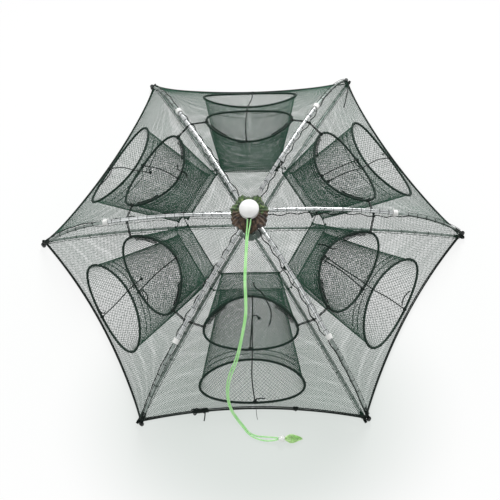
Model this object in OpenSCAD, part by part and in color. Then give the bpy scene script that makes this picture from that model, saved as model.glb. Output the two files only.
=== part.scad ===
// Folding crab trap: twelve net mouths on a six-ribbed double umbrella frame.
// Origin on the floor under the hub axis, +Z up, first rib along +X.

/* [Frame] */
// Hub axis to the outermost point of a rib
tip_r = 475; // [430:5:560]
// Height of the upper rib hinges above the floor
top_z = 150; // [125:1:190]
// Height of the lower rib hinges above the floor
low_z = 75; // [62:1:90]
// Hub axis to each rib hinge
pivot_r = 24; // [22:0.5:30]
// Hub axis to the joint between rib tube and rib rod
knee_r = 306; // [260:2:340]
// Height of that joint above the floor
knee_z = 125; // [105:1:135]
// Arch of the rib tube above its chord
tube_arch = 15; // [8:1:22]
// Arch of the lower rib above its chord
low_arch = 19; // [10:1:26]
// Sideways offset of the upper ribs, and the other way of the lower ribs
rib_side = 4; // [4:0.5:6]

/* [Ribs] */
// Radius of the bright rib tube
tube_r = 4; // [3:0.25:4.5]
// Radius of the outer rib rod
rod_r = 3; // [2:0.25:3.5]
// Radius of the lower rib rod
low_r = 2.5; // [1.5:0.25:3]
// Radius of the hinge eyes
eye_r = 5.5; // [4.5:0.25:6]
// Outer radius of the white collar
collar_r = 6.5; // [6:0.25:8]
// Length of the white collar
collar_l = 10; // [8:1:24]
// Radius of the tip cap that stands on the floor
cap_r = 4.5; // [4:0.25:5]

/* [Hubs] */
// Radius of both hub discs
hub_r = 30; // [30:0.5:38]
// Thickness of both hub discs
hub_t = 12; // [12:0.5:18]
// Radius of the cord bore through the hubs
hub_bore_r = 3.2; // [3:0.1:5]
// Radius of the hinge pins
pin_r = 1.5; // [1:0.1:2]
// Length of the hinge pins
pin_l = 18; // [14:1:20]
// Radius of the white knob
knob_r = 20.5; // [18:0.5:26]
// Height of the white knob
knob_h = 27; // [20:1:36]
// Radius of the camouflage cuff at its hem
cuff_r = 39; // [34:1:48]

/* [Net] */
// Thickness of the net layers
net_t = 1.5; // [1:0.1:2]
// Hub axis to the net rim in the middle of a sector
rim_r = 380; // [350:5:420]
// Hub axis to the net corner at a rib
corner_r = 452; // [400:2:456]
// Radius of the hoop wire
hoop_r = 2.5; // [2:0.25:3]

/* [Mouths] */
// Hub axis to the throat of an outer tunnel
outer_throat_r = 150; // [130:2:180]
// Hub axis to the throat of an inner tunnel
inner_throat_r = 118; // [100:2:124]

/* [Cord] */
// Radius of each strand of the pull cord
cord_r = 2; // [1.5:0.1:2.4]
// Radius of the round bead
bead_r = 7; // [5:0.5:9]

/* [Hidden] */
$fn = 32;
RIBS = 6;
STEP_A = 360 / RIBS;

// Clearances
pin_fit = 0.05;    // hinge pin in its bores
slot_fit = 0.3;    // rib eye between its slot walls
loose_fit = 0.4;   // parts that lie beside each other
seam_fit = 0.3;    // gap between neighbouring net gores
butt_fit = 0.1;    // rod end before the tube end
eye_w = 2 * tube_r;
slot_w = eye_w + 2 * slot_fit;
slot_in_r = pivot_r - eye_r - 1;

// Rib end points in the plane of a rib, as [radius, height]
tip = [tip_r - cap_r, cap_r];
knee = [knee_r, knee_z];
top_pivot = [pivot_r, top_z];
low_pivot = [pivot_r, low_z];

// The rod carries on in the direction in which the tube ends
tube_turn = 2 * atan(2 * tube_arch / norm(knee - top_pivot));
rod_turn = chord_angle(top_pivot, knee) - chord_angle(knee, tip) - tube_turn;
rod_arch = norm(tip - knee) / 2 * tan(rod_turn / 2);
knee_angle = chord_angle(top_pivot, knee) - tube_turn;

// Net heights
net_in_r = hub_r + loose_fit + 0.2;
up_drop = collar_r + 1.1 + net_t;
low_drop = low_r + loose_fit + net_t / 2;
up_rim_z = 9.5;
low_rim_z = 4.5;
up_mid_top = top_z - hub_t / 2 + 2;
low_mid_top = low_z - hub_t / 2 + 3;
up_bulge = 2.75;   // fullness of the upper net between hub and rim
low_bulge = 1.5;   // fullness of the lower net

// Hoops, as [centre, half length] along the net and [half width] across it
OUTER = 0;
INNER = 1;
hoop_t = [0.868, 0.566];
hoop_dt = [0.108, 0.144];
hoop_w = [107, 93];
hoop_sides = 24;
hoop_room = hoop_r + 1.2;

// Tunnels: throat height, half width and half height, and how far the roof hangs under a line
throat_r = [outer_throat_r, inner_throat_r];
throat_z = [low_z, 0.72 * top_z];
throat_w = [58, 45];
throat_h = [6, 4];
roof_dip = [10, 6];
mouth_room = [hoop_r + 1.8, hoop_r + 0.5];
mouth_drop = [0, 2];
tunnel_t = 1.2;
tunnel_steps = 5;

// Pull cord: points chosen by hand along the net, over the rim and along the floor
CORD_PTS = [
    [0, -21, 166], [-1, -32, 164], [-3, -44, 160], [-5, -60, 157], [-8, -104, 154], [-10, -150, 149],
    [-9, -185, 142], [-10, -219, 131], [-20, -265, 110], [-30, -297, 90], [-44, -325, 68],
    [-50, -345, 50], [-50, -367, 30], [-44, -386, 16], [-33, -402, 7], [-20, -418, 2.4],
    [-8, -432, 2.4], [8, -440, 2.4], [24, -443, 2.4], [38, -444, 4], [51, -444, 7]
];
CORD_SIDES = 8;
cord_gap = 0.15;   // half the gap between the two strands
cord_end = CORD_PTS[len(CORD_PTS) - 1];
tassel_l = 36;
tassel_strands = 5;
strand_r = 0.9;
tassel_w = [12, 17, 23];   // width of the fan at its start, middle and end

function chord_angle(p, q) = atan2(q[1] - p[1], q[0] - p[0]);
function mix(a, b, u) = a + (b - a) * u;
function turned(p, a) = [p[0] * cos(a) - p[1] * sin(a), p[0] * sin(a) + p[1] * cos(a), p[2]];
function mirrored(p) = [p[0], -p[1], p[2]];

// Circle through p and q that rises by arch above their chord
function arc_radius(p, q, arch) = (pow(norm(q - p) / 2, 2) + arch * arch) / (2 * arch);
function arc_centre(p, q, arch) =
    (p + q) / 2 - (arc_radius(p, q, arch) - arch) * [-(q - p)[1], (q - p)[0]] / norm(q - p);
function arc_z(p, q, arch, r) =
    let(c = arc_centre(p, q, arch), big = arc_radius(p, q, arch))
    c[1] + sqrt(big * big - pow(r - c[0], 2));

function upper_rib_z(r) = r < knee_r ? arc_z(top_pivot, knee, tube_arch, r) : arc_z(knee, tip, rod_arch, r);
function lower_rib_z(r) = arc_z(low_pivot, tip, low_arch, r);

// A net layer between two ribs, in the sector from 0 to 60 degrees.
// t runs from hub to rim, and q from -1 at the first rib to 1 at the second.
function rib_point(t, upper) =
    let(r = mix(net_in_r, corner_r, t))
    [r, 0, upper ? upper_rib_z(r) - up_drop : lower_rib_z(r) - low_drop];
function mid_point(t, upper) =
    let(full = 1 - pow(t, upper ? up_bulge : low_bulge))
    turned([mix(net_in_r, rim_r, t), 0, upper ? mix(up_rim_z, up_mid_top, full)
                                               : mix(low_rim_z, low_mid_top, full)], STEP_A / 2);
function net_point(t, q, upper) =
    let(a = rib_point(t, upper), b = turned(a, STEP_A), m = mid_point(t, upper))
    (a + b) / 2 + q * (b - a) / 2 + (1 - q * q) * (m - (a + b) / 2);
function half_width(t) = mix(net_in_r, corner_r, t) / 2;

// Oval of a mouth in the net, grown by room; a runs from the rim side at 0 to the hub side at 180
function oval_t(kind, a, room) = hoop_t[kind] + (hoop_dt[kind] + room / (rim_r - net_in_r)) * cos(a);
function oval_q(kind, a, room) = (hoop_w[kind] + room) / half_width(hoop_t[kind]) * sin(a);

// Rows of a gore from hub to rim, as [t, q of its edge]
function plain_row(t) = [t, seam_fit / half_width(t)];
function oval_rows(kind) = [
    for (i = [hoop_sides / 2:-1:0])
        let(a = i * 360 / hoop_sides, t = oval_t(kind, a, hoop_room))
        [t, max(oval_q(kind, a, hoop_room), plain_row(t)[1])]
];
UPPER_ROWS = concat(
    [for (t = [0, 0.1, 0.2, 0.3, 0.37]) plain_row(t)],
    oval_rows(INNER),
    oval_rows(OUTER),
    [plain_row(1)]
);
LOWER_ROWS = [for (i = [0:12]) plain_row(i / 12)];
GORE_COLS = 4;

// Closed skin round rings that all have as many points; a loop joins its last ring to its first
module skin(rings, loop = false) {
    n = len(rings[0]);
    m = len(rings);
    sides = [
        for (i = [0:loop ? m - 1 : m - 2])
            for (j = [0:n - 1])
                let(a = i * n + j, b = i * n + (j + 1) % n,
                    c = ((i + 1) % m) * n + (j + 1) % n, d = ((i + 1) % m) * n + j)
                each [[a, b, c], [a, c, d]]
    ];
    ends = loop ? [] : [
        for (j = [0:n / 2 - 2])
            let(a = j, b = j + 1, c = n - 2 - j, d = n - 1 - j, e = (m - 1) * n)
            each [[a, c, b], [a, d, c], [e + a, e + b, e + c], [e + a, e + c, e + d]]
    ];
    polyhedron([for (ring = rings) each ring], concat(sides, ends), convexity = 6);
}

// Directions along a path, with the first one level across it
function along(pts, i, loop) =
    let(n = len(pts),
        d = loop ? pts[(i + 1) % n] - pts[(i + n - 1) % n] : pts[min(i + 1, n - 1)] - pts[max(i - 1, 0)])
    d / norm(d);
function across(pts, i, loop) =
    let(d = along(pts, i, loop), s = [-d[1], d[0], 0])
    s / norm(s);
function beside(pts, shift) = [for (i = [0:len(pts) - 1]) pts[i] + shift * across(pts, i, false)];

// Round tube along a path
module tube(pts, r, sides, loop = false) {
    skin([
        for (i = [0:len(pts) - 1])
            let(s = across(pts, i, loop), u = cross(along(pts, i, loop), s))
            [for (j = [0:sides - 1]) pts[i] + r * (cos(360 * j / sides) * s + sin(360 * j / sides) * u)]
    ], loop);
}

// Round bar that follows the arc in the plane of a rib, from p less skip to q and past it
module arc_bar(p, q, arch, r, past = 0, skip = 0) {
    c = arc_centre(p, q, arch);
    big = arc_radius(p, q, arch);
    first = chord_angle(c, q) - past / big * 180 / PI;
    last = chord_angle(c, p) - skip / big * 180 / PI;
    translate([c[0], 0, c[1]])
        rotate([90, 0, 0])
            rotate([0, 0, first])
                rotate_extrude(angle = last - first)
                    translate([big, 0])
                        circle(r);
}

module at_rib(k, side) {
    rotate([0, 0, k * STEP_A])
        translate([0, side, 0])
            children();
}

module cross_bar(at, r, l) {
    translate([at[0], 0, at[1]])
        rotate([90, 0, 0])
            cylinder(r = r, h = l, center = true);
}

module hub(z, side) {
    difference() {
        translate([0, 0, z - hub_t / 2])
            cylinder(r = hub_r, h = hub_t);
        translate([0, 0, z - hub_t])
            cylinder(r = hub_bore_r, h = 2 * hub_t);
        for (k = [0:RIBS - 1])
            at_rib(k, side) {
                translate([slot_in_r, -slot_w / 2, z - hub_t])
                    cube([hub_r, slot_w, 2 * hub_t]);
                cross_bar([pivot_r, z], pin_r + pin_fit, pin_l + 2 * slot_fit);
            }
    }
}

module hub_pins(z, side) {
    for (k = [0:RIBS - 1])
        at_rib(k, side)
            cross_bar([pivot_r, z], pin_r, pin_l);
}

module top_hub() {
    color("dimgray")
        hub(top_z, rib_side);
}

module top_hub_pins() {
    color("silver")
        hub_pins(top_z, rib_side);
}

module lower_hub() {
    color("dimgray")
        hub(low_z, -rib_side);
}

module lower_hub_pins() {
    color("silver")
        hub_pins(low_z, -rib_side);
}

neck_r = 10;
neck_h = 7;
knob_z = top_z + hub_t / 2;
cuff_t = 1.5;
cuff_top_z = knob_z + neck_h - cuff_t - loose_fit;
cuff_hem_z = top_z + tube_r + loose_fit + 2.2;

// White cap on the hub, hollow for the cord, with a hole at the front where the cord comes out
module knob() {
    dome_r = 1.25 * knob_r;
    color("white")
        translate([0, 0, knob_z])
            difference() {
                union() {
                    cylinder(r = neck_r, h = neck_h);
                    translate([0, 0, neck_h])
                        intersection() {
                            cylinder(r = knob_r, h = knob_h - neck_h);
                            translate([0, 0, knob_h - neck_h - dome_r])
                                sphere(dome_r, $fn = 48);
                        }
                }
                translate([0, 0, -1])
                    cylinder(r = hub_bore_r, h = knob_h / 2 + 1);
                translate([0, 0, CORD_PTS[0][2] - knob_z])
                    rotate([90, 0, 0])
                        cylinder(r = 2 * cord_r + 1, h = 2 * knob_r);
            }
}

// Cloth skirt held between hub and knob, spread over the rib eyes
module camo_cuff() {
    color("olivedrab")
        difference() {
            translate([0, 0, cuff_hem_z])
                cylinder(r1 = cuff_r, r2 = neck_r + 3, h = cuff_top_z + cuff_t - cuff_hem_z, $fn = 48);
            translate([0, 0, cuff_hem_z - cuff_t])
                cylinder(r1 = cuff_r, r2 = neck_r + 3, h = cuff_top_z + cuff_t - cuff_hem_z, $fn = 48);
            translate([0, 0, cuff_hem_z])
                cylinder(r = neck_r + loose_fit, h = hub_t);
            translate([0, 0, cuff_hem_z - hub_t])
                cylinder(r = cuff_r + 1, h = hub_t);
        }
}

// Stretch of the cord between the two hubs
module inner_cord() {
    color("palegreen")
        translate([0, 0, low_z - hub_t / 2 + 1])
            cylinder(r = hub_bore_r - loose_fit, h = top_z - low_z + hub_t - 2);
}

module pull_cord() {
    color("palegreen")
        for (side = [-1, 1])
            tube(beside(CORD_PTS, side * (cord_r + cord_gap)), cord_r, CORD_SIDES);
}

module cord_bead() {
    color("white")
        translate([cord_end[0], cord_end[1], bead_r])
            translate([bead_r + loose_fit, 0, 0])
                sphere(bead_r);
}

// Frayed end: a fan of short strands behind the bead
module cord_tassel() {
    x0 = cord_end[0] + 2 * (bead_r + loose_fit) + 0.2;
    color("yellowgreen")
        for (i = [0:tassel_strands - 1])
            let(a = (i - (tassel_strands - 1) / 2) / tassel_strands)
                tube([[x0, cord_end[1] + tassel_w[0] * a, 4], [x0 + tassel_l / 2, cord_end[1] + tassel_w[1] * a, 3],
                      [x0 + tassel_l, cord_end[1] + tassel_w[2] * a, 2]], strand_r, CORD_SIDES);
}

module rib_tube(k) {
    color("silver")
        at_rib(k, rib_side)
            difference() {
                union() {
                    arc_bar(top_pivot, knee, tube_arch, tube_r);
                    cross_bar(top_pivot, eye_r, eye_w);
                }
                cross_bar(top_pivot, pin_r + pin_fit, 2 * eye_w);
            }
}

module rib_rod(k) {
    color("gray")
        at_rib(k, rib_side)
            arc_bar(knee, tip, rod_arch, rod_r, skip = butt_fit);
}

// White collar over the joint, and the cap that stands on the floor
module rib_fittings(k) {
    color("white")
        at_rib(k, rib_side)
            difference() {
                translate([knee[0], 0, knee[1]])
                    rotate([0, 90 - knee_angle, 0])
                        cylinder(r = collar_r, h = collar_l, center = true);
                arc_bar(top_pivot, knee, tube_arch, tube_r + slot_fit, collar_l);
            }
    color("dimgray")
        at_rib(k, rib_side)
            difference() {
                translate([tip[0], 0, 0])
                    cylinder(r = cap_r, h = 2 * cap_r + 1);
                arc_bar(knee, tip, rod_arch, rod_r + slot_fit / 2, slot_fit);
            }
}

module lower_rib(k) {
    color("gray")
        at_rib(k, -rib_side)
            difference() {
                union() {
                    arc_bar(low_pivot, tip, low_arch, low_r);
                    cross_bar(low_pivot, eye_r, eye_w);
                    translate([0, rib_side - cap_r / 2 - low_r, 0])
                        cross_bar(tip, cap_r - slot_fit, low_r + cap_r / 2);
                }
                cross_bar(low_pivot, pin_r + pin_fit, 2 * eye_w);
            }
}

// One gore of a net layer, centred on its rib, notched by the mouths on both sides
module gore(k, rows, upper) {
    rotate([0, 0, k * STEP_A])
        skin([
            for (row = rows)
                let(right = [for (c = [0:GORE_COLS]) net_point(row[0], -1 + c / GORE_COLS * (1 - row[1]), upper)],
                    line = concat([for (c = [GORE_COLS:-1:1]) mirrored(right[c])], right),
                    n = len(line))
                concat([for (p = line) p + [0, 0, net_t / 2]],
                       [for (c = [n - 1:-1:0]) line[c] - [0, 0, net_t / 2]])
        ]);
}

module upper_net(k) {
    color("darkslategray")
        gore(k, UPPER_ROWS, true);
}

module lower_net(k) {
    color("darkslategray")
        gore(k, LOWER_ROWS, false);
}

function oval_point(kind, a, room) = net_point(oval_t(kind, a, room), oval_q(kind, a, room), true);

// Outer and inner wire hoop of the sector after rib k
module hoops(k) {
    color("darkgreen")
        rotate([0, 0, k * STEP_A])
            for (kind = [OUTER, INNER])
                tube([for (i = [0:hoop_sides - 1]) oval_point(kind, i * 360 / hoop_sides, 0)],
                     hoop_r, CORD_SIDES, loop = true);
}

// Point on the inside of a tunnel at u, from the hoop at 0 to the throat at 1
function tunnel_point(kind, u, a) =
    let(mouth = oval_point(kind, a, -mouth_room[kind] - tunnel_t) - [0, 0, mouth_drop[kind]],
        throat = turned([throat_r[kind], (throat_w[kind] - tunnel_t) * sin(a),
                         throat_z[kind] - (throat_h[kind] - tunnel_t) * cos(a)], STEP_A / 2))
    mix(mouth, throat, u) - [0, 0, 2 * u * (1 - u) * roof_dip[kind] * (1 - cos(a))];

// Direction out of a tunnel, square to its wall
function tunnel_normal(kind, u, a) =
    let(n = cross(tunnel_point(kind, u + 0.02, a) - tunnel_point(kind, u - 0.02, a),
                  tunnel_point(kind, u, a + 1) - tunnel_point(kind, u, a - 1)))
    n / norm(n);

// Ring of a tunnel at u, on its inside or the wall's thickness out from it
function tunnel_ring(kind, u, out) = [
    for (i = [0:hoop_sides - 1])
        let(a = i * 360 / hoop_sides)
        tunnel_point(kind, u, a) + out * tunnel_normal(kind, u, a)
];

// Net funnels behind the two hoops of the sector after rib k, each with a flat throat
module tunnels(k) {
    color("seagreen")
        rotate([0, 0, k * STEP_A])
            for (kind = [OUTER, INNER])
                skin(concat(
                    [for (i = [0:tunnel_steps]) tunnel_ring(kind, i / tunnel_steps, tunnel_t)],
                    [for (i = [tunnel_steps:-1:0]) tunnel_ring(kind, i / tunnel_steps, 0)]
                ), loop = true);
}

top_hub();
top_hub_pins();
knob();
camo_cuff();
lower_hub();
lower_hub_pins();
inner_cord();
pull_cord();
cord_bead();
cord_tassel();
for (k = [0:RIBS - 1]) {
    rib_tube(k);
    rib_rod(k);
    rib_fittings(k);
    upper_net(k);
    hoops(k);
    tunnels(k);
    lower_rib(k);
    lower_net(k);
}
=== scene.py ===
"""Folding crab trap: the looks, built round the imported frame. All lengths are in metres."""

import math

import bpy
import numpy as np
from mathutils import Matrix, Vector

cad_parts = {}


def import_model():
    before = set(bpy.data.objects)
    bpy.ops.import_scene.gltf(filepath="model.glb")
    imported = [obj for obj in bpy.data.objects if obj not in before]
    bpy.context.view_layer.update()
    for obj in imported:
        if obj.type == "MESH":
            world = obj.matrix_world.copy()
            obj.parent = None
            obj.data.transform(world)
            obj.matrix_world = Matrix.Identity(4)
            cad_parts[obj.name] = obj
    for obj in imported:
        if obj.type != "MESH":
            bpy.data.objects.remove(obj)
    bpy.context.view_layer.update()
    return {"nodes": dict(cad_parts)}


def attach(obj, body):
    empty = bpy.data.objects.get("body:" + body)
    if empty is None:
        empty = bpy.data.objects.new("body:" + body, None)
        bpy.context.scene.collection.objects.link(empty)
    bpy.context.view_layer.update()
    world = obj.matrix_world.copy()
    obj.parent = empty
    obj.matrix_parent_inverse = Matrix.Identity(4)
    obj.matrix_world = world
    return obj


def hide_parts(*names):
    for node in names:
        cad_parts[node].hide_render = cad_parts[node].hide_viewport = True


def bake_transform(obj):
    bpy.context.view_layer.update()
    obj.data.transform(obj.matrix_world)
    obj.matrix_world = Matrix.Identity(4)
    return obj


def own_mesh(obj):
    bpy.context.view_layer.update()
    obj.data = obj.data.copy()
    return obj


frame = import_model()
nodes = frame["nodes"]
rng = np.random.default_rng(12)

RIBS = range(1, 7)
SPREAD = 0.475  # hub axis to a rib's tip

# Rib ends in the plane of a rib, as (radius, height)
TIP = np.array((0.4705, 0.0045))
KNEE = np.array((0.306, 0.125))
TOP_PIVOT = np.array((0.024, 0.150))
LOW_PIVOT = np.array((0.024, 0.075))
TUBE_ARCH, LOW_ARCH = 0.015, 0.019
RIB_SIDE, TUBE_R, ROD_R, LOW_R = 0.004, 0.004, 0.003, 0.0025

# Where rib caps and lashed rod ends begin
CAPS_FROM, ROD_ENDS_FROM = 0.4, 0.456

# Net between the ribs
NET_IN, NET_RIM, NET_CORNER = 0.0306, 0.380, 0.465
UP_DROP, LOW_DROP = 0.0091, 0.00365
UP_RIM_Z, UP_MID_Z, UP_FULL = 0.0095, 0.146, 2.75
LOW_RIM_Z, LOW_MID_Z, LOW_FULL = 0.0045, 0.072, 1.5
NET_LONG = 0.40  # hub to rim along the net
NET_PITCH = 0.0034  # side of a mesh
NET_THREAD, TUNNEL_THREAD = 0.00027, 0.00038
THREAD_STEP = 0.010
THREAD_LEAN = math.radians(48)  # between a thread and the middle line of its sector

# Mouths: middle and half size along the net, half width across it
HOOP_T, HOOP_DT, HOOP_W, HOOP_R = (0.868, 0.566), (0.108, 0.144), (0.107, 0.093), 0.0025
THROAT_R, THROAT_Z = (0.144, 0.119), (0.075, 0.108)
THROAT_W, THROAT_H, ROOF_DIP = (0.065, 0.060), (0.006, 0.004), (0.010, 0.006)

# Pull cord along the net, over the rim and along the floor
CORD_R, CORD_GAP = 0.0015, 0.0001
CORD_ROUTE = [
    (0, -0.021, 0.166), (-0.001, -0.032, 0.164), (-0.003, -0.044, 0.160), (-0.005, -0.060, 0.157),
    (-0.008, -0.104, 0.154), (-0.010, -0.150, 0.149), (-0.009, -0.185, 0.142), (-0.010, -0.219, 0.131),
    (-0.020, -0.265, 0.110), (-0.030, -0.297, 0.090), (-0.044, -0.325, 0.068), (-0.050, -0.345, 0.050),
    (-0.050, -0.367, 0.030), (-0.044, -0.386, 0.016), (-0.033, -0.402, 0.007), (-0.020, -0.418, 0.0024),
    (-0.008, -0.432, 0.0024), (0.008, -0.440, 0.0024), (0.024, -0.443, 0.0024), (0.038, -0.444, 0.004),
    (0.051, -0.444, 0.007),
]

# Share of their width that nets keep when the frame is folded
FOLD_KEEP, TUNNEL_KEEP = 0.27, 0.20


# ---- camera ----

def place_camera(elevation, azimuth, roll, distance, shift, lens):
    """Camera on the axis through the floor's origin, moved by shift in its own picture plane."""
    e, a, r = (math.radians(x) for x in (elevation, azimuth, roll))
    back = Vector((math.sin(a) * math.cos(e), -math.cos(a) * math.cos(e), math.sin(e)))
    level = Vector((math.cos(a), math.sin(a), 0))
    rise = back.cross(level)
    right = math.cos(r) * level + math.sin(r) * rise
    up = back.cross(right)
    data = bpy.data.cameras.new("camera")
    data.lens, data.sensor_width, data.clip_end = lens, 36, 50
    camera = bpy.data.objects.new("camera", data)
    bpy.context.scene.collection.objects.link(camera)
    turn = Matrix((right, up, back)).transposed().to_4x4()
    camera.matrix_world = Matrix.Translation(back * distance + right * shift[0] + up * shift[1]) @ turn
    bpy.context.scene.camera = camera


place_camera(68.17, 4.50, -5.28, 4.030 * SPREAD, (-0.0079 * SPREAD, -0.0466 * SPREAD), 850 / 500 * 36)


# ---- materials ----

def new_finish(name, roughness=0.5, metallic=0.0, **sockets):
    """Material with its plain values set, and its shader."""
    material = bpy.data.materials.new(name)
    material.use_nodes = True
    shader = material.node_tree.nodes["Principled BSDF"]
    shader.inputs["Roughness"].default_value = roughness
    shader.inputs["Metallic"].default_value = metallic
    for socket, value in sockets.items():
        shader.inputs[socket.replace("_", " ")].default_value = value
    return material, shader


def add_node(material, kind, links=(), **values):
    """A node of that kind; links pairs its inputs with sockets, values sets plain inputs or properties."""
    node = material.node_tree.nodes.new(kind)
    for key, value in values.items():
        if key in node.inputs:
            node.inputs[key].default_value = value
        else:
            setattr(node, key, value)
    for key, socket in links:
        material.node_tree.links.new(socket, node.inputs[key])
    return node


def place_socket(material, kind="Object", stretch=None):
    """Coordinates for a pattern: the piece's own place, or its map, stretched."""
    coords = add_node(material, "ShaderNodeTexCoord").outputs[kind]
    if stretch is None:
        return coords
    mapping = add_node(material, "ShaderNodeMapping", [("Vector", coords)], Scale=stretch)
    return mapping.outputs["Vector"]


def colour_ramp(material, factor, stops):
    ramp = add_node(material, "ShaderNodeValToRGB", [("Fac", factor)])
    elements = ramp.color_ramp.elements
    while len(elements) < len(stops):
        elements.new(0.5)
    for element, (place, colour) in zip(elements, stops):
        element.position, element.color = place, (*colour, 1)
    return ramp.outputs["Color"]


def set_colour(material, shader, colour):
    material.node_tree.links.new(colour, shader.inputs["Base Color"])


def set_bump(material, shader, height, strength, distance):
    bump = add_node(material, "ShaderNodeBump", [("Height", height)], Strength=strength, Distance=distance)
    material.node_tree.links.new(bump.outputs["Normal"], shader.inputs["Normal"])


def set_roughness(material, shader, factor, low, high):
    spread = add_node(material, "ShaderNodeMapRange", [("Value", factor)], **{"To Min": low, "To Max": high})
    material.node_tree.links.new(spread.outputs["Result"], shader.inputs["Roughness"])


def noise(material, scale, detail=3.0, coords=None, distortion=0.0):
    coords = coords or place_socket(material)
    node = add_node(material, "ShaderNodeTexNoise", [("Vector", coords)], Scale=scale, Detail=detail,
                    Distortion=distortion)
    return node.outputs["Fac"]


def thread_finish(name, dark, light, sheen=0.25, grain=900.0):
    """Twisted nylon thread: patchy dye, with fine fibres."""
    material, shader = new_finish(name, 0.6, Sheen_Weight=sheen, Sheen_Roughness=0.5, Specular_IOR_Level=0.15)
    patches = noise(material, 14, 4)
    set_colour(material, shader, colour_ramp(material, patches, [(0.3, dark), (0.7, light)]))
    fibres = noise(material, grain, 2)
    set_bump(material, shader, fibres, 0.5, 0.0002)
    set_roughness(material, shader, patches, 0.45, 0.7)
    return material


def cord_finish(name, dark, light, turns, sheen=0.3, weave=0.0006):
    """Braided cord: two sets of strands that cross, on its own map (x round it, y along it in radii)."""
    material, shader = new_finish(name, 0.55, Sheen_Weight=sheen, Sheen_Roughness=0.4,
                                  Specular_IOR_Level=0.25)
    one = add_node(material, "ShaderNodeTexWave", [("Vector", place_socket(material, "UV", (turns, 1, 1)))],
                   Scale=0.55, Distortion=0.4, bands_direction="DIAGONAL")
    two = add_node(material, "ShaderNodeTexWave", [("Vector", place_socket(material, "UV", (-turns, 1, 1)))],
                   Scale=0.55, Distortion=0.4, bands_direction="DIAGONAL")
    braid = add_node(material, "ShaderNodeMath", [(0, one.outputs["Fac"]), (1, two.outputs["Fac"])],
                     operation="MAXIMUM")
    wear = noise(material, 60, 3)
    shade = add_node(material, "ShaderNodeMath", [(0, braid.outputs[0]), (1, wear)], operation="MULTIPLY")
    # Lighter on the strands' ridges, a painted highlight, and darker in the grooves between them, a painted
    # shade; the wear noise also darkens it in patches.
    set_colour(material, shader, colour_ramp(material, shade.outputs[0], [(0.15, dark), (0.55, light)]))
    set_bump(material, shader, braid.outputs[0], 0.6, weave)
    return material


def moulded_finish(name, dark, light, roughness, coat=0.0):
    """Moulded plastic: faint flow marks and a fine skin."""
    material, shader = new_finish(name, roughness, Coat_Weight=coat, Coat_Roughness=0.15)
    flow = noise(material, 45, 4, distortion=0.6)
    set_colour(material, shader, colour_ramp(material, flow, [(0.3, dark), (0.7, light)]))
    set_bump(material, shader, noise(material, 1400, 2), 0.12, 0.0002)
    set_roughness(material, shader, flow, roughness - 0.06, roughness + 0.1)
    return material


def drawn_metal(name, dark, light, roughness):
    """Drawn metal: fine lines and dull spots."""
    material, shader = new_finish(name, roughness, 1.0)
    spots = noise(material, 70, 5)
    lines = noise(material, 2200, 2)
    set_colour(material, shader, colour_ramp(material, spots, [(0.3, dark), (0.65, light)]))
    set_roughness(material, shader, spots, roughness - 0.08, roughness + 0.18)
    set_bump(material, shader, lines, 0.15, 0.0001)
    return material


NET = thread_finish("net_thread", (0.018, 0.072, 0.042), (0.046, 0.140, 0.090), sheen=0.02)
TUNNEL_NET = thread_finish("tunnel_thread", (0.018, 0.056, 0.036), (0.046, 0.114, 0.076), sheen=0.02)
SEAM = cord_finish("seam_cord", (0.002, 0.006, 0.004), (0.008, 0.018, 0.013), 3, sheen=0.05)
STRING = thread_finish("tie_string", (0.003, 0.008, 0.006), (0.012, 0.024, 0.018), sheen=0.05, grain=1500.0)
HOOP = cord_finish("hoop_sleeve", (0.002, 0.012, 0.007), (0.010, 0.034, 0.022), 3, sheen=0.05, weave=0.0004)
# The green cord's light colour is a painted highlight on the braid's ridges.
GREEN_CORD = cord_finish("green_cord", (0.27, 0.82, 0.20), (0.64, 1.0, 0.54), 3, sheen=0.4, weave=0.0004)
TASSEL = thread_finish("tassel_fibre", (0.50, 0.90, 0.30), (0.80, 1.0, 0.60), grain=2500.0)
TUBE_METAL = drawn_metal("bright_tube", (0.40, 0.42, 0.42), (0.62, 0.64, 0.64), 0.22)
ROD_METAL = drawn_metal("spring_rod", (0.20, 0.24, 0.22), (0.36, 0.40, 0.38), 0.4)
PIN_METAL = drawn_metal("pin_steel", (0.45, 0.46, 0.47), (0.68, 0.69, 0.70), 0.3)
WHITE = moulded_finish("white_moulding", (0.84, 0.84, 0.83), (0.92, 0.92, 0.91), 0.32, 0.3)
HUB = moulded_finish("hub_moulding", (0.105, 0.118, 0.112), (0.165, 0.182, 0.174), 0.5)
BEAD_FINISH = moulded_finish("bead_moulding", (0.86, 0.88, 0.84), (0.94, 0.95, 0.92), 0.28, 0.4)


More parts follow.
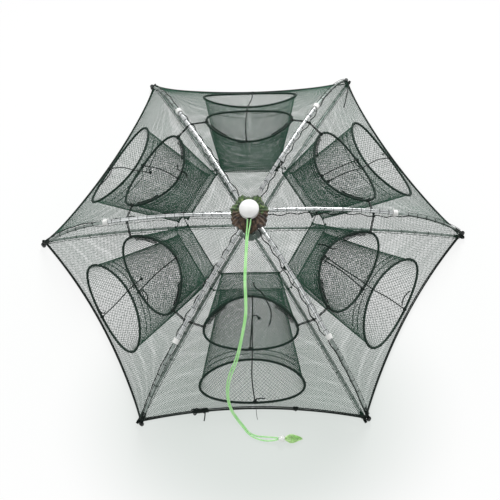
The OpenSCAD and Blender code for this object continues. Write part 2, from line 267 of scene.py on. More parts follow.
def camouflage():
    """Printed cloth: leaf green, bark brown towards the front, with pale blades and dark gaps."""
    material, shader = new_finish("cuff_cloth", 0.8, Sheen_Weight=0.35, Sheen_Roughness=0.5)
    blades = noise(material, 1.0, 5, place_socket(material, "UV", (26, 5, 1)), 0.8)
    blotches = noise(material, 1.0, 3, place_socket(material, "UV", (7, 3, 1)), 0.5)
    greens = colour_ramp(material, blades,
                         [(0.36, (0.004, 0.012, 0.003)), (0.48, (0.022, 0.060, 0.010)),
                          (0.60, (0.060, 0.120, 0.024)), (0.74, (0.26, 0.32, 0.10))])
    browns = colour_ramp(material, blades,
                         [(0.36, (0.006, 0.004, 0.002)), (0.48, (0.040, 0.022, 0.012)),
                          (0.62, (0.110, 0.065, 0.038)), (0.76, (0.24, 0.18, 0.12))])
    across = add_node(material, "ShaderNodeSeparateXYZ", [("Vector", place_socket(material))])
    front = add_node(material, "ShaderNodeMath", [(0, across.outputs["Y"])], operation="MULTIPLY")
    front.inputs[1].default_value = -24.0
    mottled = add_node(material, "ShaderNodeMath", [(0, front.outputs[0]), (1, blotches)], operation="ADD")
    share = add_node(material, "ShaderNodeMapRange", [("Value", mottled.outputs[0])],
                     **{"From Min": 0.42, "From Max": 0.66})
    cloth = add_node(material, "ShaderNodeMix", [("Factor", share.outputs["Result"])], data_type="RGBA")
    material.node_tree.links.new(greens, cloth.inputs[6])
    material.node_tree.links.new(browns, cloth.inputs[7])
    set_colour(material, shader, cloth.outputs[2])
    set_bump(material, shader, noise(material, 1800, 2), 0.4, 0.0003)
    return material


CLOTH = camouflage()


def black_beyond(material, radius):
    """The same finish, black further than that from the middle, where the rib ends are."""
    shader = material.node_tree.nodes["Principled BSDF"]
    flat = add_node(material, "ShaderNodeVectorMath", [(0, place_socket(material))], operation="MULTIPLY")
    flat.inputs[1].default_value = (1, 1, 0)
    away = add_node(material, "ShaderNodeVectorMath", [(0, flat.outputs[0])], operation="LENGTH")
    end = add_node(material, "ShaderNodeMath", [(0, away.outputs["Value"])], operation="GREATER_THAN")
    end.inputs[1].default_value = radius
    pick = add_node(material, "ShaderNodeMix", [("Factor", end.outputs[0])], data_type="RGBA")
    material.node_tree.links.new(shader.inputs["Base Color"].links[0].from_socket, pick.inputs[6])
    pick.inputs[7].default_value = (0.006, 0.009, 0.008, 1)
    set_colour(material, shader, pick.outputs[2])


FITTING = moulded_finish("rib_fitting", (0.72, 0.73, 0.71), (0.86, 0.86, 0.84), 0.5)
black_beyond(FITTING, CAPS_FROM)
black_beyond(ROD_METAL, ROD_ENDS_FROM)


# ---- the shape of ribs, net, hoops and tunnels, as in the frame ----

def arc_height(p, q, arch, r):
    """Height at radius r of the circle through p and q that rises by arch above their chord."""
    d = q - p
    long = np.linalg.norm(d)
    big = ((long / 2) ** 2 + arch**2) / (2 * arch)
    centre = (p + q) / 2 - (big - arch) * np.array((-d[1], d[0])) / long
    return centre[1] + np.sqrt(np.maximum(big**2 - (r - centre[0]) ** 2, 0))


def chord(p, q):
    return math.atan2(q[1] - p[1], q[0] - p[0])


TUBE_TURN = 2 * math.atan(2 * TUBE_ARCH / np.linalg.norm(KNEE - TOP_PIVOT))
ROD_TURN = chord(TOP_PIVOT, KNEE) - chord(KNEE, TIP) - TUBE_TURN
ROD_ARCH = np.linalg.norm(TIP - KNEE) / 2 * math.tan(ROD_TURN / 2)


def upper_rib_z(r):
    return np.where(r < KNEE[0], arc_height(TOP_PIVOT, KNEE, TUBE_ARCH, r),
                    arc_height(KNEE, TIP, ROD_ARCH, r))


def lower_rib_z(r):
    return arc_height(LOW_PIVOT, TIP, LOW_ARCH, r)


def mix(a, b, u):
    return a + (b - a) * u


def turned(points, degrees):
    a = math.radians(degrees)
    x, y, z = np.moveaxis(np.asarray(points, float), -1, 0)
    return np.stack((x * math.cos(a) - y * math.sin(a), x * math.sin(a) + y * math.cos(a), z), -1)


def mirrored(points):
    return np.asarray(points) * (1, -1, 1)


def net_point(t, q, upper=True):
    """Point on a net layer between the ribs at 0 and 60 degrees: t from hub to rim, q from -1 to 1 across.
    Past the collar the upper net lies over the rod, and inside it under the tube."""
    t, q = np.broadcast_arrays(np.asarray(t, float), np.asarray(q, float))
    r = mix(NET_IN, NET_CORNER, t)
    rib_z = upper_rib_z(r) - UP_DROP if upper else lower_rib_z(r) - LOW_DROP
    a = np.stack((r, 0 * r, rib_z), -1)
    b = turned(a, 60)
    rho = mix(NET_IN, NET_RIM, t)
    if upper:
        mid_z = mix(UP_RIM_Z, UP_MID_Z, 1 - np.maximum(t, 0) ** UP_FULL)
    else:
        mid_z = mix(LOW_RIM_Z, LOW_MID_Z, 1 - np.maximum(t, 0) ** LOW_FULL)
    m = turned(np.stack((rho, 0 * rho, mid_z), -1), 30)
    q1 = q[..., None]
    point = (a + b) / 2 + q1 * (b - a) / 2 + (1 - q1**2) * (m - (a + b) / 2)
    if upper:
        over = 1 / (1 + np.exp(-(r - 0.330) / 0.008))
        point[..., 2] += 0.0135 * over * np.abs(q) ** 10
    return point


def half_width(t):
    return mix(NET_IN, NET_CORNER, t) / 2


def oval_point(kind, degrees, room=0.0):
    """Point on the hoop's line: 0 at its rim side, 180 at its hub side, grown by room."""
    a = np.radians(degrees)
    t = HOOP_T[kind] + (HOOP_DT[kind] + room / (NET_RIM - NET_IN)) * np.cos(a)
    return net_point(t, (HOOP_W[kind] + room) / half_width(HOOP_T[kind]) * np.sin(a))


def in_oval(kind, t, q, room=0.0):
    across = q * half_width(HOOP_T[kind]) / (HOOP_W[kind] + room)
    return ((t - HOOP_T[kind]) / (HOOP_DT[kind] + room / (NET_RIM - NET_IN))) ** 2 + across**2 < 1


def tunnel_point(kind, u, degrees):
    """Point on a tunnel's net at u, from the hoop at 0 to the throat at 1."""
    u = np.asarray(u, float)[..., None]
    a = np.radians(degrees)
    mouth = oval_point(kind, degrees, -0.0015)
    throat = turned(np.stack((THROAT_R[kind] + 0 * a, THROAT_W[kind] * np.sin(a),
                              THROAT_Z[kind] - THROAT_H[kind] * np.cos(a)), -1), 30)
    dip = 2 * u * (1 - u) * ROOF_DIP[kind] * (1 - np.cos(a))[..., None]
    return mix(mouth, throat, u) - dip * (0, 0, 1)


# ---- meshes of threads, cords and wires ----

def spaced(points, step):
    """The line again, with points a step apart."""
    points = np.asarray(points, float)
    along = np.r_[0, np.cumsum(np.linalg.norm(np.diff(points, axis=0), axis=1))]
    count = max(2, int(round(along[-1] / step)) + 1)
    marks = np.linspace(0, along[-1], count)
    return np.stack([np.interp(marks, along, points[:, i]) for i in range(3)], -1)


def smooth_line(points, step):
    """Smooth curve through given points."""
    p = np.asarray(points, float)
    p = np.vstack((2 * p[0] - p[1], p, 2 * p[-1] - p[-2]))
    out = []
    for i in range(1, len(p) - 2):
        u = np.linspace(0, 1, 12, endpoint=False)[:, None]
        out.append(0.5 * (2 * p[i] + (p[i + 1] - p[i - 1]) * u
                          + (2 * p[i - 1] - 5 * p[i] + 4 * p[i + 1] - p[i + 2]) * u**2
                          + (3 * p[i] - p[i - 1] - 3 * p[i + 1] + p[i + 2]) * u**3))
    return spaced(np.vstack(out + [p[-2:-1]]), step)


def mesh_object(name, verts, faces, material, smooth=True, uv=None):
    mesh = bpy.data.meshes.new(name)
    mesh.from_pydata(np.asarray(verts).tolist(), [], faces)
    mesh.materials.append(material)
    if uv is not None:
        layer = mesh.uv_layers.new(name="run")
        index = np.empty(len(mesh.loops), int)
        mesh.loops.foreach_get("vertex_index", index)
        layer.data.foreach_set("uv", np.asarray(uv, float)[index].ravel())
    if smooth:
        mesh.shade_smooth()
    piece = bpy.data.objects.new(name, mesh)
    bpy.context.scene.collection.objects.link(piece)
    return piece


def tubes(name, paths, radius, sides, material, taper=None, closed=True):
    """Round tubes along the paths, as one piece. Its map runs round each tube and, in radii, along it."""
    verts, faces, uv, start = [], [], [], 0
    turns = np.linspace(0, 2 * math.pi, sides, endpoint=False)
    for path in paths:
        path = np.asarray(path, float)
        n = len(path)
        if n < 2:
            continue
        along = np.gradient(path, axis=0)
        along /= np.maximum(np.linalg.norm(along, axis=1), 1e-12)[:, None]
        side = np.cross((0, 0, 1.0), along)
        weak = np.linalg.norm(side, axis=1) < 0.2
        if weak.any():
            side = np.cross((0.3, 0.9, 0.2), along)
        side /= np.linalg.norm(side, axis=1)[:, None]
        lift = np.cross(along, side)
        size = radius * (np.ones(n) if taper is None else np.asarray(taper(np.linspace(0, 1, n))))
        ring = np.cos(turns)[None, :, None] * side[:, None] + np.sin(turns)[None, :, None] * lift[:, None]
        verts.append((path[:, None] + size[:, None, None] * ring).reshape(-1, 3))
        run = np.r_[0, np.cumsum(np.linalg.norm(np.diff(path, axis=0), axis=1))] / radius
        uv.append(np.stack((np.tile(turns / (2 * math.pi), n), np.repeat(run, sides)), -1))
        i, j = np.meshgrid(np.arange(n - 1), np.arange(sides), indexing="ij")
        k = (j + 1) % sides
        quads = start + np.stack((i * sides + j, i * sides + k, (i + 1) * sides + k, (i + 1) * sides + j),
                                 -1).reshape(-1, 4)
        faces.extend(quads.tolist())
        if closed:
            faces.append((start + np.arange(sides)[::-1]).tolist())
            faces.append((start + (n - 1) * sides + np.arange(sides)).tolist())
        start += n * sides
    return mesh_object(name, np.vstack(verts), faces, material, uv=np.vstack(uv))


def runs_inside(inside):
    """First and last index of each unbroken run of True."""
    edges = np.flatnonzero(np.diff(np.r_[0, inside.astype(int), 0]))
    return [(a, b - 1) for a, b in zip(edges[::2], edges[1::2]) if b - a > 3]


def sag(points, amount):
    """Small uneven slack, the same for threads that lie side by side."""
    x, y, _ = points.T
    wave = np.sin(61 * x + 1.3) * np.sin(47 * y + 0.4)
    wave = wave + 0.6 * np.sin(113 * x - 87 * y) + 0.5 * np.sin(151 * y + 59 * x + 2)
    return points + np.stack((0 * x, 0 * x, amount * wave), -1)


def gore_threads(upper):
    """Threads of half a sector's net, beside the rib at 0 degrees, cut at the net's edges and the mouths."""
    step = NET_PITCH / math.cos(THREAD_LEAN)
    v = np.arange(0, NET_LONG, 0.0005)
    lines = []
    reach = int((half_width(1) + NET_LONG * math.tan(THREAD_LEAN)) / step) + 1
    for lean in (-1, 1):
        for i in range(-reach, reach + 1):
            t = v / NET_LONG
            across = i * step + lean * v * math.tan(THREAD_LEAN)
            q = across / half_width(t)
            inside = (q <= 0) & (q >= -1)
            if upper:
                for kind in (0, 1):
                    inside &= ~in_oval(kind, t, q)
            for a, b in runs_inside(inside):
                count = int((b - a) * 0.0005 / math.cos(THREAD_LEAN) / THREAD_STEP) + 2
                marks = np.linspace(a, b, max(2, count)).round().astype(int)
                lines.append(net_point(t[marks], q[marks], upper))
    return lines


def tunnel_threads(kind, count, turn):
    """Threads of half a tunnel, on the side of the rib at 0 degrees."""
    u = np.linspace(0, 1, 241)
    lines = []
    for lean in (-1, 1):
        for i in range(-count, 2 * count):
            a = i * 360 / count + lean * turn * u
            for first, last in runs_inside((a >= 180) & (a <= 360)):
                marks = np.linspace(first, last, max(2, int((last - first) / 11) + 2)).round().astype(int)
                lines.append(tunnel_point(kind, u[marks], a[marks]))
    return lines


def both_sides(lines):
    """Lines beside a rib, and the same on its other side."""
    return lines + [mirrored(line) for line in lines]


def on_rib(piece, k, body, *replaced, soft=True, keep=FOLD_KEEP):
    """A piece made beside the rib at 0 degrees goes to rib k and rides its body."""
    angle = 60 * (k - 1)
    piece.data.transform(Matrix.Rotation(math.radians(angle), 4, "Z"))
    if soft:
        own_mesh(piece)
    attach(piece, f"{body}_{k}")
    if replaced:
        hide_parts(*replaced)
    return piece


def copied(piece, name):
    twin = piece.copy()
    twin.data = piece.data.copy()
    twin.name = twin.data.name = name
    bpy.context.scene.collection.objects.link(twin)
    return twin


def six(base, name, body, replaced=None, keep=FOLD_KEEP, soft=True):
    """Copies a piece made beside the rib at 0 degrees to all six ribs."""
    made = []
    for k in RIBS:
        piece = copied(base, f"{name}_{k}")
        on_rib(piece, k, body, *(replaced(k) if replaced else ()), soft=soft, keep=keep)
        made.append(piece)
    bpy.data.objects.remove(base)
    return made


def before(k):
    return 6 if k == 1 else k - 1


# ---- pull cord ----

def cord_strand(side):
    """One strand beside the route, a little further out at the knob, in the middle and before the bead."""
    route = np.array(CORD_ROUTE)
    d = np.gradient(route, axis=0)
    across = np.stack((-d[:, 1], d[:, 0], 0 * d[:, 0]), -1)
    across /= np.linalg.norm(across, axis=1)[:, None]
    out = np.full(len(route), CORD_R + CORD_GAP)
    out[:4] += (0.0018, 0.0014, 0.0007, 0.0002)
    out[9:12] += (0.0005, 0.0009, 0.0004)
    out[17:20] += (0.0010, 0.0024, 0.0018)
    return smooth_line(route + side * out[:, None] * across, 0.003)


def tassel_fibres():
    """Frayed end that swells behind the bead and runs to a point."""
    root = np.array((0.0655, -0.444, 0.0062))
    fibres = []
    for _ in range(110):
        across, high = rng.uniform(-1, 1), rng.uniform(-1, 1)
        u = np.linspace(0, 1, 9)
        swell = 0.0034 + 0.0064 * np.sin(math.pi * np.clip(u / 0.55, 0, 1) / 2)
        swell = swell - 0.0086 * np.clip((u - 0.35) / 0.65, 0, 1) ** 1.5
        line = root + u[:, None] * (rng.uniform(0.026, 0.036), 0, 0)
        line[:, 1] += swell * across + 0.0005 * np.sin(9 * u + 6 * across)
        line[:, 2] += -0.0035 * u + 0.55 * swell * high * math.sqrt(1 - across**2)
        line[:, 2] = np.maximum(line[:, 2], 0.0006)
        fibres.append(line)
    return fibres


def pull_cord():
    """Frayed end and the two strands that run from the knob to the bead."""
    tassel = tubes("cord_tassel_fibres", tassel_fibres(), 0.00042, 4, TASSEL, lambda u: 1 - 0.5 * u)
    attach(tassel, "pull_cord_body")
    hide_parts("cord_tassel")

    for number, side in ((1, -1), (2, 1)):
        line = cord_strand(side)
        strand = tubes(f"pull_cord_strand_{number}", [line], CORD_R, 12, GREEN_CORD)
        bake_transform(strand)
        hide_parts("pull_cord")


pull_cord()


# ---- nets ----

def net_pieces():
    """Nets and tunnels; their threads end inside seams and hoops."""
    upper = tubes("upper_mesh", [sag(line, 0.0005) for line in both_sides(gore_threads(True))], NET_THREAD, 3,
                  NET, closed=False)
    for piece in six(upper, "upper_mesh", "upper_rib", replaced=lambda k: (f"upper_net_{k}",)):
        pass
    lower = tubes("lower_mesh", [sag(line, 0.0004) for line in both_sides(gore_threads(False))], NET_THREAD,
                  3, NET, closed=False)
    for piece in six(lower, "lower_mesh", "lower_rib_arm",
                     replaced=lambda k: (f"lower_net_{k}",)):
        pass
    threads = both_sides(tunnel_threads(0, 84, 130) + tunnel_threads(1, 76, 110))
    tunnel = tubes("tunnel_mesh", threads, TUNNEL_THREAD, 3, TUNNEL_NET, closed=False)
    for piece in six(tunnel, "tunnel_mesh", "upper_rib",
                     lambda k: (f"tunnels_{k}", f"tunnels_{before(k)}"), TUNNEL_KEEP):
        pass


net_pieces()


# ---- hoops, with the thread that whips the net to them ----

def half_hoop(kind, room=0.0):
    return oval_point(kind, np.linspace(180, 360, 49), room)


def whipping(line, radius, pitch):
    """Thread that winds round a line."""
    fine = spaced(line, pitch / 8)
    along = np.gradient(fine, axis=0)
    along /= np.linalg.norm(along, axis=1)[:, None]
    side = np.cross((0, 0, 1.0), along)
    side /= np.linalg.norm(side, axis=1)[:, None]
    lift = np.cross(along, side)
    turn = np.arange(len(fine)) * 2 * math.pi / 8
    return fine + radius * (np.cos(turn)[:, None] * side + np.sin(turn)[:, None] * lift)


def hoops():
    """Wire hoops and the thread that whips the net to them."""
    hoop_halves = both_sides([half_hoop(0), half_hoop(1)])
    six(tubes("hoop_wire", hoop_halves, HOOP_R, 10, HOOP), "hoop_wire", "upper_rib",
        replaced=lambda k: (f"hoops_{k}", f"hoops_{before(k)}"))
    windings = [whipping(line, HOOP_R + 0.0002, 0.009) for line in hoop_halves]
    six(tubes("hoop_whipping", windings, 0.0005, 4, STRING), "hoop_whipping", "upper_rib")


hoops()


# ---- rim and rib seams ----

def rim_line(upper, lift, out):
    q = np.linspace(0, -1, 40)
    line = net_point(np.ones(40), q, upper)
    away = line * (1, 1, 0)
    away /= np.linalg.norm(away, axis=1)[:, None]
    return line + out * away + (0, 0, lift)


def rim_cords():
    """Two cords along the upper rim and one along the lower rim."""
    six(tubes("rim_cord_upper", both_sides([rim_line(True, 0.0004, 0.001), rim_line(True, 0.0020, -0.0016)]),
              0.0012, 8, SEAM),
        "rim_cord_upper", "upper_rib")
    six(tubes("rim_cord_lower", both_sides([rim_line(False, -0.0006, 0.0010)]), 0.0014, 8, SEAM),
        "rim_cord_lower", "lower_rib_arm")


rim_cords()


def rib_seam(upper, side, far_side, wave, pitch, lift):
    """Wavy seam cord beside a rib, on the net: at side near the hub and at far_side beyond the collar."""
    r = np.linspace(0.034, 0.464, 270)
    line = net_point((r - NET_IN) / (NET_CORNER - NET_IN), -np.ones_like(r), upper)
    outer = np.clip((r - 0.29) / 0.04, 0, 1)
    sway = np.sin(2 * math.pi * r / pitch) + 0.6 * np.sin(2 * math.pi * r / (2.7 * pitch) + 1)
    line[:, 1] += mix(side, far_side, outer) + wave * sway * (1 - 0.75 * outer)
    line[:, 2] += lift
    return line


def rib_seams():
    thick = tubes("rib_seam", [rib_seam(True, -0.0030, 0.0000, 0.0018, 0.037, 0.0014)], 0.0011, 6, SEAM)
    six(thick, "rib_seam", "upper_rib", soft=False)
    thin = tubes("rib_thread", [rib_seam(True, 0.0095, 0.0080, 0.0006, 0.029, 0.0008)], 0.0005, 5, SEAM)
    six(thin, "rib_thread", "upper_rib", soft=False)
    low = [rib_seam(False, 0.0002, 0.0002, 0.0004, 0.024, -0.0006),
           rib_seam(False, -0.0082, -0.0078, 0.0005, 0.027, -0.0006)]
    six(tubes("lower_seam", low, 0.0006, 5, SEAM), "lower_seam", "lower_rib_arm", soft=False)


rib_seams()


def loop_round(radius_at, r, tall, side, wide):
    """Closed stitch round a bar in the plane of a rib."""
    a = np.linspace(0, 2 * math.pi, 13)
    return np.stack((r + 0.0008 * np.sin(a), side + wide * np.cos(a),
                     radius_at(np.array([r]))[0] + tall * np.sin(a)), -1)


def rib_ties():
    """Stitches that tie the nets to the ribs, close together at the tips."""
    stitches = [loop_round(upper_rib_z, r, TUBE_R + 0.0004, RIB_SIDE, TUBE_R + 0.0004)
                for r in np.arange(0.058, 0.296, 0.0195)]
    stitches += [loop_round(upper_rib_z, r, ROD_R + 0.0008, RIB_SIDE, ROD_R + 0.0008)
                 for r in np.arange(0.335, 0.440, 0.021)]
    stitches += [loop_round(upper_rib_z, r, ROD_R + 0.0007, RIB_SIDE, ROD_R + 0.0007)
                 for r in np.arange(0.450, 0.4635, 0.0011)]
    six(tubes("rib_stitches", stitches, 0.00055, 5, STRING), "rib_stitches", "upper_rib",
        soft=False)
    low_stitches = [loop_round(lower_rib_z, r, LOW_R + 0.0007, -RIB_SIDE, LOW_R + 0.0007)
                    for r in np.arange(0.060, 0.450, 0.030)]
    low_stitches += [loop_round(lower_rib_z, r, LOW_R + 0.0006, -RIB_SIDE, LOW_R + 0.0006)
                     for r in np.arange(0.450, 0.4705, 0.0011)]
    six(tubes("lower_stitches", low_stitches, 0.00055, 5, STRING), "lower_stitches", "lower_rib_arm",
        soft=False)


rib_ties()


# ---- strings, knots and loose ends ----

def knot(centre, size):
    """Overhand knot: three crossing turns."""
    a = np.linspace(0, 2 * math.pi, 40)
    return np.asarray(centre) + size * np.stack(((np.sin(a) + 2 * np.sin(2 * a)) / 3,
                                                 (np.cos(a) - 2 * np.cos(2 * a)) / 3, -np.sin(3 * a) / 2.2),
                                                 -1)


def string_lines():
    """Strings of one half sector: throat ties, the closing string of the mouths and their knots."""
    lines, thick = [], []
    for kind in (0, 1):
        edge = tunnel_point(kind, np.array([1.0]), np.array([270.0]))[0]
        throat = tunnel_point(kind, np.ones(25), np.linspace(180, 360, 25))
        thick.append(throat)
        r = (0.163, 0.140)[kind]
        if kind:
            post = np.array((r, -0.001, float(upper_rib_z(np.array(r))) - UP_DROP - 0.0012))
        else:
            post = np.array((r, -RIB_SIDE, float(lower_rib_z(np.array(r))) + LOW_R + 0.0008))
        hang = mix(edge, post, np.linspace(0, 1, 12)[:, None])
        hang[:, 2] -= 0.004 * np.sin(np.linspace(0, math.pi, 12))
        lines.append(hang)
        thick.append(knot(edge, 0.0022))
        lines.append(knot(post, 0.0016))
        gathers = np.linspace(110, 250, 30)
        for room in (-0.009, -0.015):
            bunch = tunnel_point(kind, np.full(30, -room / 0.09), gathers) - (0, 0, 0.002)
            lines.append(bunch[gathers >= 180])
    for room in (-0.0020, -0.0042, -0.0068, -0.0095):
        lines.append(oval_point(1, np.linspace(222, 268, 14), room) - (0, 0, 0.0015 - 0.1 * room))
    side = oval_point(1, np.array([274.0]))[0]
    seam = net_point(np.array([HOOP_T[1] - 0.03]), np.array([-0.97]))[0]
    for shift in (-0.0012, 0.0012):
        thick.append(mix(side, seam, np.linspace(0, 1, 8)[:, None]) + (shift, 0, 0.0012))
    thick += [knot(side + (0, 0, 0.002), 0.0042), knot(seam, 0.0028)]
    return lines, thick


def throat_strings():
    """Ties and edges of the throats, beside every rib."""
    thin_lines, thick_lines = string_lines()
    six(tubes("throat_ties", both_sides(thin_lines), 0.0009, 5, STRING), "throat_ties", "upper_rib",
        keep=TUNNEL_KEEP)
    six(tubes("throat_edges", both_sides(thick_lines), 0.0010, 6, SEAM), "throat_edges", "upper_rib",
        keep=TUNNEL_KEEP)


throat_strings()


def on_net(marks, lift=0.0026, step=0.004):
    """Thread laid over the net of a sector through marks (t, q)."""
    t, q = np.array(marks).T
    return smooth_line(net_point(t, q) + (0, 0, lift), step)


def curl(t, q, size, turn):
    """Loose end on the net that starts at (t, q) and curls back."""
    a = np.linspace(0, 1, 6) * turn + 0.4
    return on_net(np.stack((t - size * 2.4 * np.sin(a),
                            q + size * 10 * (1 - np.cos(a)) * math.copysign(1, turn)), -1), 0.0034)


# In each sector: the string from the outer hoop's rim side to the inner mouth, the short one across
# the inner mouth, and the places and turns of the loose ends
SECTOR_STRINGS = {
    1: ([(0.974, 0.02), (0.86, 0.00), (0.76, -0.05), (0.70, -0.08), (0.57, -0.10), (0.44, -0.16)],
        [(0.708, 0.05), (0.56, 0.03), (0.425, 0.00)],
        [(0.97, 0.03, 0.010, -2.6), (0.70, -0.08, 0.008, 2.4)]),
    2: ([(0.974, -0.03), (0.86, -0.02), (0.76, 0.02), (0.706, 0.03)],
        [(0.708, 0.03), (0.56, 0.06), (0.425, 0.05)],
        [(0.97, -0.03, 0.008, 2.2), (0.43, 0.05, 0.010, 2.7)]),
    3: ([(0.974, 0.04), (0.86, 0.03), (0.74, 0.05), (0.62, 0.04)],
        [(0.708, -0.04), (0.56, -0.06), (0.425, -0.02)],
        [(0.96, 0.05, 0.011, 2.8), (0.62, 0.04, 0.007, -2.2)]),
    4: ([(0.974, -0.02), (0.86, -0.01), (0.74, -0.03), (0.66, -0.03)],
        [(0.708, 0.08), (0.56, 0.05), (0.425, 0.03)],
        [(0.95, -0.03, 0.009, -2.4), (0.70, 0.08, 0.010, 2.5)]),
    5: ([(0.972, 0.02), (0.86, 0.00), (0.74, 0.01), (0.62, 0.02), (0.540, 0.03), (0.530, 0.08),
         (0.545, 0.13)],
        [(0.428, 0.040), (0.50, 0.035), (0.60, 0.010), (0.705, -0.015)],
        [(0.97, 0.02, 0.006, 1.8), (0.705, -0.015, 0.005, -2.0)]),
    6: ([(0.974, 0.05), (0.86, 0.02), (0.76, -0.02), (0.66, -0.03), (0.55, -0.05), (0.43, -0.04)],
        [(0.708, -0.10), (0.56, -0.09), (0.425, -0.12)],
        [(0.96, 0.05, 0.009, 2.3), (0.43, -0.04, 0.008, -2.6)]),
}
# Longer loose threads that lie on the net
STRAYS = {
    1: [[(0.985, 0.93), (0.93, 0.86), (0.885, 0.80), (0.845, 0.75)],
        [(0.99, 0.10), (0.96, 0.07), (0.93, 0.07)]],
    5: [[(0.345, 0.07), (0.375, 0.11), (0.395, 0.20), (0.43, 0.27), (0.50, 0.33), (0.555, 0.30),
         (0.59, 0.25)]],
    6: [[(0.36, 0.10), (0.40, 0.16), (0.44, 0.15), (0.47, 0.21)]],
    3: [[(0.37, -0.12), (0.40, -0.20), (0.45, -0.18), (0.48, -0.26)]],
}


def mouth_strings(k):
    long, short, ends = SECTOR_STRINGS[k]
    lines = [on_net(long), on_net(short, 0.0030)]
    thick = [knot(lines[0][0], 0.0032), knot(lines[0][-1], 0.0028), knot(lines[1][0], 0.0030),
             knot(lines[1][-1], 0.0028)]
    lines += [curl(*end) for end in ends] + [on_net(marks, 0.0030) for marks in STRAYS.get(k, ())]
    return lines + thick


def all_mouth_strings():
    """Strings and loose ends over the mouths of every sector."""
    for k in RIBS:
        piece = tubes(f"mouth_strings_{k}", mouth_strings(k), 0.0013, 6, STRING)
        on_rib(piece, k, "upper_rib")


all_mouth_strings()


def loose_end(place, heading, length, bend):
    """Short thread that starts at a knot and sags."""
    u = np.linspace(0, 1, 14)
    a = math.radians(heading) + bend * u
    step = length / 13
    x, y = np.cumsum(np.cos(a)) * step, np.cumsum(np.sin(a)) * step
    return np.asarray(place) + np.stack((x - x[0], y - y[0], -0.006 * u**2), -1)


def front_rim_whipping():
    """Thick knot with a loose end on the front rim, a smaller knot, and a fine stray thread."""
    q = np.linspace(-0.53, -0.40, 30)
    line = net_point(np.ones(30), q) + (0, 0, 0.0016)
    small = net_point(np.ones(12), np.linspace(0.36, 0.40, 12)) + (0, 0, 0.0016)
    middle = net_point(np.ones(2), np.array([0.03, 0.04]))
    knots = [whipping(line, 0.0042, 0.0026), knot(line[3] + (0, 0, 0.001), 0.0075), knot(line[22], 0.0055),
             loose_end(line[23] + (0.002, 0.001, 0), 32, 0.019, -0.3), whipping(small, 0.0034, 0.0028),
             knot(small[6], 0.0042)]
    for name, lines, radius in (("front_rim_whipping", knots, 0.0013),
                                ("front_rim_end", [loose_end(middle[0], 26, 0.024, 0.3)], 0.0005)):
        piece = tubes(name, lines, radius, 6, SEAM)
        on_rib(piece, 5, "upper_rib")


front_rim_whipping()


# ---- cloth cuff over the hub ----

def cuff_cloth():
    """Cloth gathered under the knob: its pleats open outwards, lie over the ribs and hang between them."""
    bpy.ops.object.select_all(action="DESELECT")
    rings, around, pleats = 17, 216, 24
    u = np.linspace(0, 1, rings)[:, None]
    a = np.linspace(0, 2 * math.pi, around, endpoint=False)[None, :]
    fold = np.sin(pleats * a + 0.9 * np.sin(5 * a + 1) + 0.6 * np.sin(3 * a + 2))
    front = np.clip(-np.sin(a), 0, 1) ** 1.5
    r = mix(0.0118, 0.0405 + 0.0060 * front, u)
    r = r + 0.0014 * u * np.sin(7 * a + 0.6) - 0.0010 * u**2 * (1 - fold)
    between = np.sin(3 * a) ** 2
    hang = (0.0110 + 0.004 * front) * between * np.clip((u - 0.60) / 0.40, 0, 1) ** 1.4
    crown = np.sin(math.pi * np.clip(u * 0.8 + 0.1, 0, 1))
    z = mix(0.1616, 0.1578, u**1.3) + 0.0012 * np.sqrt(u) * fold * crown - hang
    verts = np.stack((r * np.cos(a), r * np.sin(a), z), -1).reshape(-1, 3)
    faces = [[i * around + j, (i + 1) * around + j, (i + 1) * around + (j + 1) % around,
              i * around + (j + 1) % around] for i in range(rings - 1) for j in range(around)]
    round_it = np.broadcast_to(a / (2 * math.pi), r.shape)
    uv = np.stack((round_it, np.broadcast_to(u, r.shape)), -1).reshape(-1, 2)
    piece = mesh_object("camo_cuff_cloth", verts, faces, CLOTH, uv=uv)
    piece.modifiers.new("thickness", "SOLIDIFY").thickness = 0.0006
    bpy.context.view_layer.objects.active = piece
    piece.select_set(True)
    bpy.ops.object.modifier_apply(modifier="thickness")
    return piece


def fit_cuff():
    """Puts the cuff on the top hub."""
    cuff = cuff_cloth()
    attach(cuff, "top_hub_body")
    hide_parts("camo_cuff")


fit_cuff()


# ---- cord between the hubs ----

def inner_cord():
    """Cord between the hubs."""
    core = tubes("inner_cord_line",
                 [np.stack((np.zeros(60), np.zeros(60), np.linspace(0.071, 0.154, 60)), -1)], 0.0026, 12,
                 GREEN_CORD)
    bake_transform(core)
    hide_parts("inner_cord")


inner_cord()


# ---- finishes of the frame's own parts ----

def repaint(name, material):
    for slot in nodes[name].material_slots:
        slot.material = material


def finish_frame():
    """Gives every kept part of the frame its finish."""
    repaint("knob", WHITE)
    repaint("top_hub", HUB)
    repaint("lower_hub", HUB)
    repaint("top_hub_pins", PIN_METAL)
    repaint("lower_hub_pins", PIN_METAL)
    repaint("cord_bead", BEAD_FINISH)
    for k in RIBS:
        repaint(f"rib_tube_{k}", TUBE_METAL)
        repaint(f"rib_rod_{k}", ROD_METAL)
        repaint(f"rib_fittings_{k}", FITTING)
        repaint(f"lower_rib_{k}", ROD_METAL)


finish_frame()


# ---- floor, light and background ----

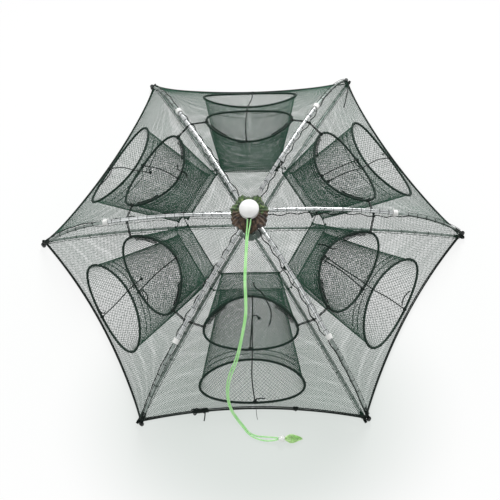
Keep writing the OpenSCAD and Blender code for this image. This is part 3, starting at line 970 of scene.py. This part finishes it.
def backdrop():
    """Pale floor that keeps the trap's shadow, with a painted greenish shade in front of it and plain white
    further away.
    """
    bpy.ops.object.select_all(action="DESELECT")
    bpy.ops.mesh.primitive_plane_add(size=14, location=(0, 0, 0))
    floor = bpy.context.object
    floor.name = "floor"
    material, shader = new_finish("pale_floor", 0.8, Specular_IOR_Level=0.1)
    # Greenish floor colour: a painted tint of light bounced through the green net.
    shader.inputs["Base Color"].default_value = (0.86, 0.90, 0.87, 1)
    rays = add_node(material, "ShaderNodeLightPath")
    seen = add_node(material, "ShaderNodeMath",
                    [(0, rays.outputs["Is Camera Ray"]), (1, rays.outputs["Is Glossy Ray"])],
                    operation="MAXIMUM")
    seen = add_node(material, "ShaderNodeMath",
                    [(0, seen.outputs[0]), (1, rays.outputs["Is Transmission Ray"])], operation="MAXIMUM")
    away = add_node(material, "ShaderNodeVectorMath", [(0, place_socket(material))], operation="LENGTH")
    plain = add_node(material, "ShaderNodeMapRange", [("Value", away.outputs["Value"])],
                     **{"From Min": 0.50, "From Max": 0.90, "To Min": 0.84, "To Max": 1.0})
    share = add_node(material, "ShaderNodeMath", [(0, seen.outputs[0]), (1, plain.outputs["Result"])],
                     operation="MULTIPLY")
    # Painted shadow: in an oval patch in front of the trap the floor's glow darkens to a greenish grey.
    front = add_node(material, "ShaderNodeMapping", [("Vector", place_socket(material))],
                     Location=(-0.01, 0.40, 0), Scale=(0.75, 1.0, 1))
    near = add_node(material, "ShaderNodeVectorMath", [(0, front.outputs[0])], operation="LENGTH")
    shade = add_node(material, "ShaderNodeMapRange", [("Value", near.outputs["Value"])],
                     interpolation_type="SMOOTHSTEP",
                     **{"From Min": 0.10, "From Max": 0.34})
    white = add_node(material, "ShaderNodeMix", [("Factor", shade.outputs["Result"])], data_type="RGBA")
    white.inputs[6].default_value = (0.70, 0.74, 0.715, 1)
    white.inputs[7].default_value = (1, 1, 1, 1)
    glow = add_node(material, "ShaderNodeEmission", [("Color", white.outputs[2])], Strength=1.0)
    both = add_node(material, "ShaderNodeMixShader",
                    [(0, share.outputs[0]), (1, shader.outputs[0]), (2, glow.outputs[0])])
    material.node_tree.links.new(both.outputs[0],
                                 material.node_tree.nodes["Material Output"].inputs["Surface"])
    floor.data.materials.append(material)


def soft_light(name, place, size, power):
    data = bpy.data.lights.new(name, "AREA")
    data.shape, data.size, data.energy = "DISK", size, power
    lamp = bpy.data.objects.new(name, data)
    bpy.context.scene.collection.objects.link(lamp)
    lamp.location = place
    lamp.rotation_euler = (-Vector(place)).to_track_quat("-Z", "Y").to_euler()


def studio():
    """White all round for the camera; for the metal, a greyer ceiling with bright walls."""
    world = bpy.data.worlds.new("studio")
    bpy.context.scene.world = world
    world.use_nodes = True
    tree = world.node_tree

    def node(kind, *links, **values):
        made = tree.nodes.new(kind)
        for key, value in values.items():
            setattr(made, key, value)
        for key, source in links:
            if isinstance(source, float):
                made.inputs[key].default_value = source
            else:
                tree.links.new(source, made.inputs[key])
        return made

    sky = tree.nodes["Background"]
    sky.inputs["Color"].default_value = (1, 1, 1, 1)
    rays = node("ShaderNodeLightPath")
    height = node("ShaderNodeSeparateXYZ",
                  ("Vector", node("ShaderNodeTexCoord").outputs["Generated"])).outputs["Z"]
    walls = node("ShaderNodeMapRange", ("Value", height), ("From Min", 0.35), ("From Max", 0.85),
                 ("To Min", 1.25), ("To Max", 0.45))
    plain = node("ShaderNodeMix", ("Factor", rays.outputs["Is Glossy Ray"]), (2, 0.60),
                 (3, walls.outputs["Result"]))
    seen = node("ShaderNodeMath", (0, rays.outputs["Is Camera Ray"]),
                (1, rays.outputs["Is Transmission Ray"]), operation="MAXIMUM")
    level = node("ShaderNodeMix", ("Factor", seen.outputs[0]), (2, plain.outputs[0]), (3, 1.0))
    tree.links.new(level.outputs[0], sky.inputs["Strength"])
    soft_light("key", (0.5, 2.9, 2.1), 1.4, 105)
    soft_light("fill", (-1.6, -1.2, 2.8), 2.0, 14)


backdrop()
studio()
bpy.context.scene.view_settings.view_transform = "Standard"
